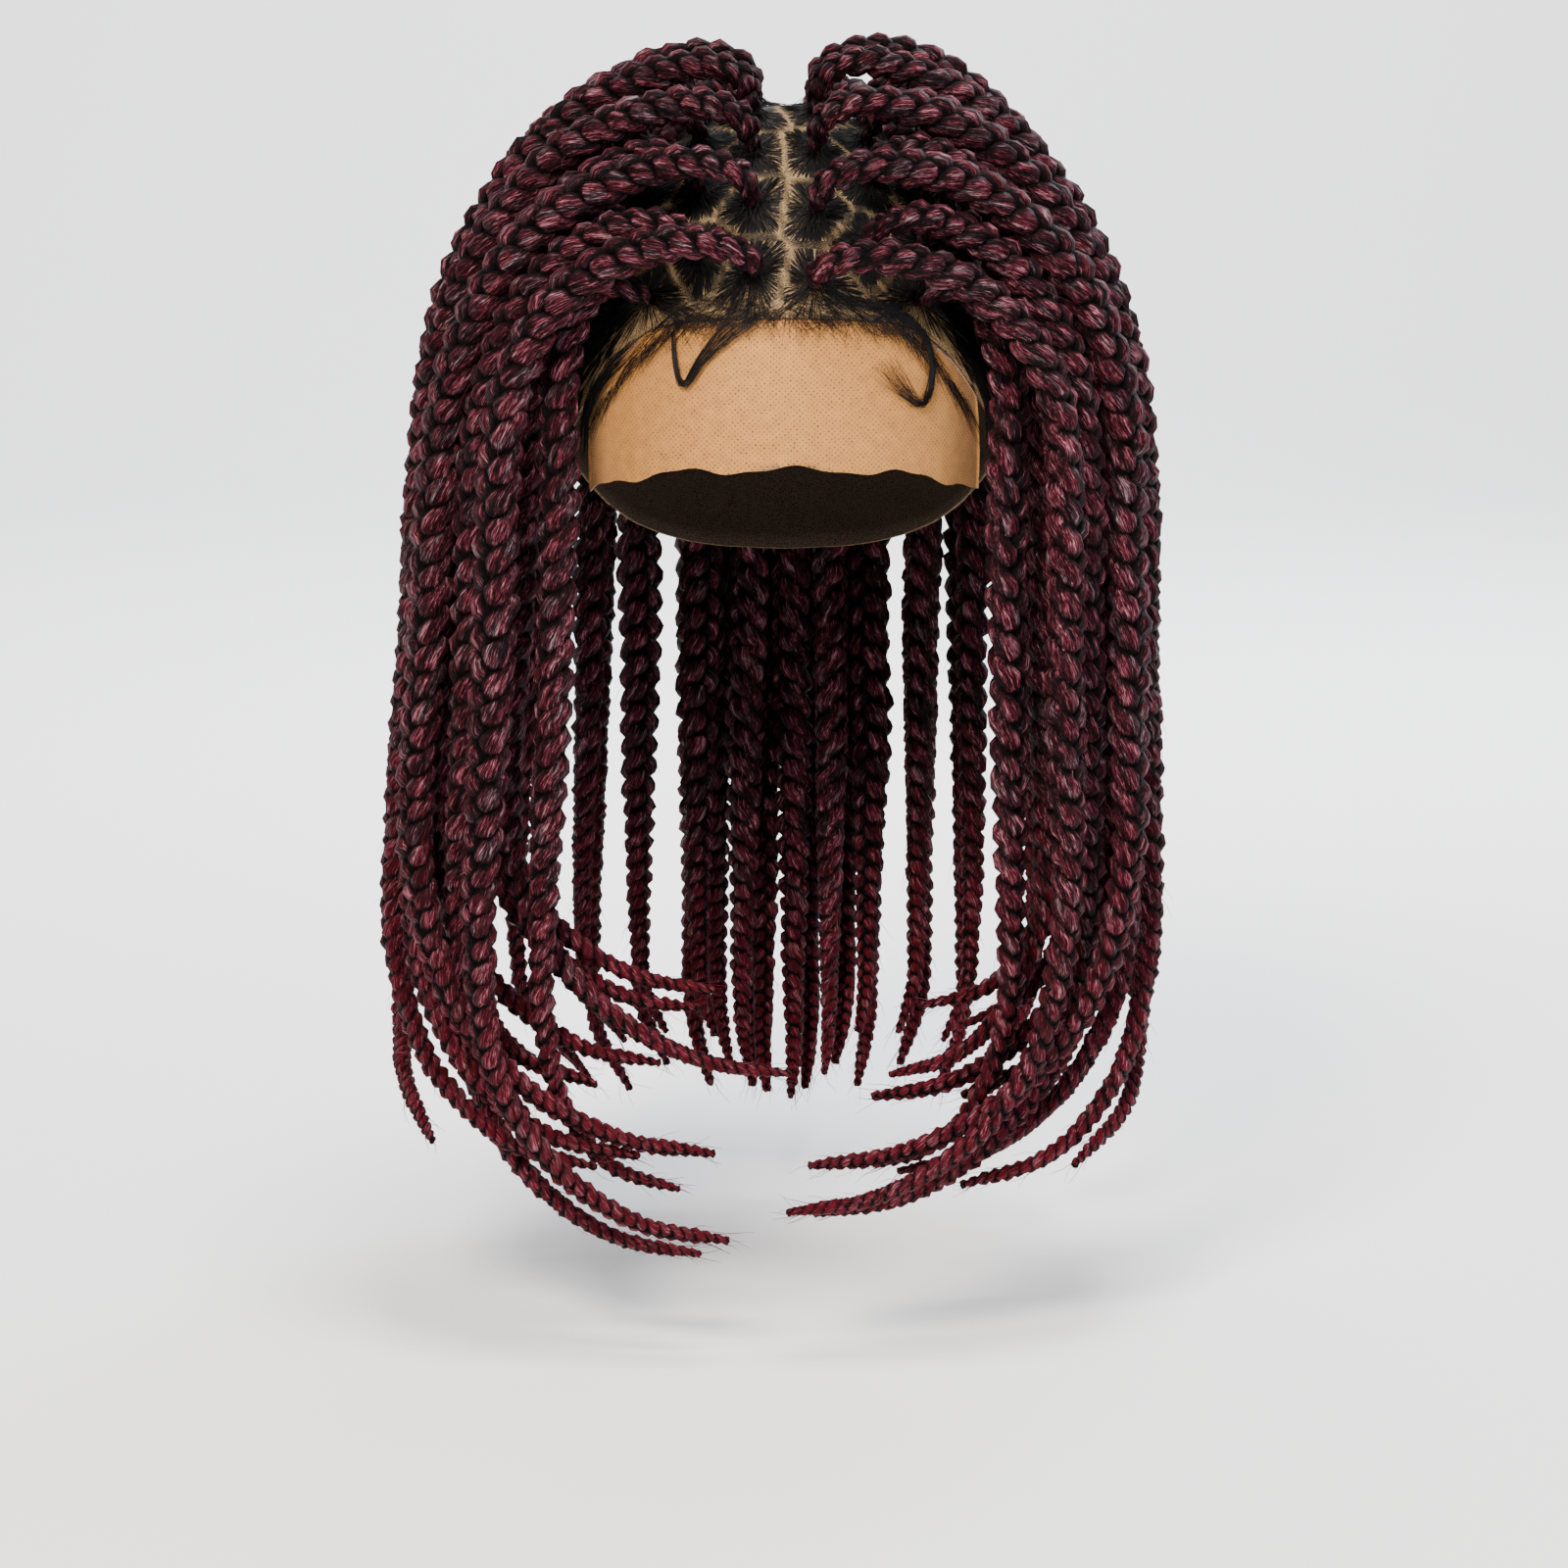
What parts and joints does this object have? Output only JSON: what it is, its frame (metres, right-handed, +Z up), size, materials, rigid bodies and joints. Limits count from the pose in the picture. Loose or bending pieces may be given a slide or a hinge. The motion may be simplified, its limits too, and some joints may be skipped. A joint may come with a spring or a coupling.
{
  "type": "box braid wig",
  "caption": "Bob-length box-braid wig with a centre parting: a fitted lace cap, a bare lace apron over the forehead, layered three-strand braids and gelled edge locks.",
  "frame": {"origin": "inside of the cap at the crown, where the cap rests on the head", "axes": "+Z up, the face opening towards -Y, +X towards the right of the front view"},
  "size_m": [0.2457, 0.2516, 0.3761],
  "materials": {
    "lace_cap": "fine stretch lace",
    "lace_apron": "sheer tan net",
    "braids": "satin synthetic hair",
    "edge_locks": "gelled hair"
  },
  "bodies": {
    "root": {"braid_left_1_middle": "braids", "braid_left_1_over": "braids", "braid_left_1_under": "braids", "braid_left_2_middle": "braids", "braid_left_2_over": "braids", "braid_left_2_under": "braids", "braid_left_3_middle": "braids", "braid_left_3_over": "braids", "braid_left_3_under": "braids", "braid_left_4_middle": "braids", "braid_left_4_over": "braids", "braid_left_4_under": "braids", "braid_left_5_middle": "braids", "braid_left_5_over": "braids", "braid_left_5_under": "braids", "braid_left_6_middle": "braids", "braid_left_6_over": "braids", "braid_left_6_under": "braids", "braid_left_7_middle": "braids", "braid_left_7_over": "braids", "braid_left_7_under": "braids", "braid_left_8_middle": "braids", "braid_left_8_over": "braids", "braid_left_8_under": "braids", "braid_left_9_middle": "braids", "braid_left_9_over": "braids", "braid_left_9_under": "braids", "braid_right_1_middle": "braids", "braid_right_1_over": "braids", "braid_right_1_under": "braids", "braid_right_2_middle": "braids", "braid_right_2_over": "braids", "braid_right_2_under": "braids", "braid_right_3_middle": "braids", "braid_right_3_over": "braids", "braid_right_3_under": "braids", "braid_right_4_middle": "braids", "braid_right_4_over": "braids", "braid_right_4_under": "braids", "braid_right_5_middle": "braids", "braid_right_5_over": "braids", "braid_right_5_under": "braids", "braid_right_6_middle": "braids", "braid_right_6_over": "braids", "braid_right_6_under": "braids", "braid_right_7_middle": "braids", "braid_right_7_over": "braids", "braid_right_7_under": "braids", "braid_right_8_middle": "braids", "braid_right_8_over": "braids", "braid_right_8_under": "braids", "braid_right_9_middle": "braids", "braid_right_9_over": "braids", "braid_right_9_under": "braids", "forehead_curl_left": "edge_locks", "forehead_curl_right": "edge_locks", "lace_apron": "lace_apron", "lace_cap": "lace_cap", "temple_lock_left": "edge_locks", "temple_lock_right": "edge_locks"}
  },
  "joints": []
}
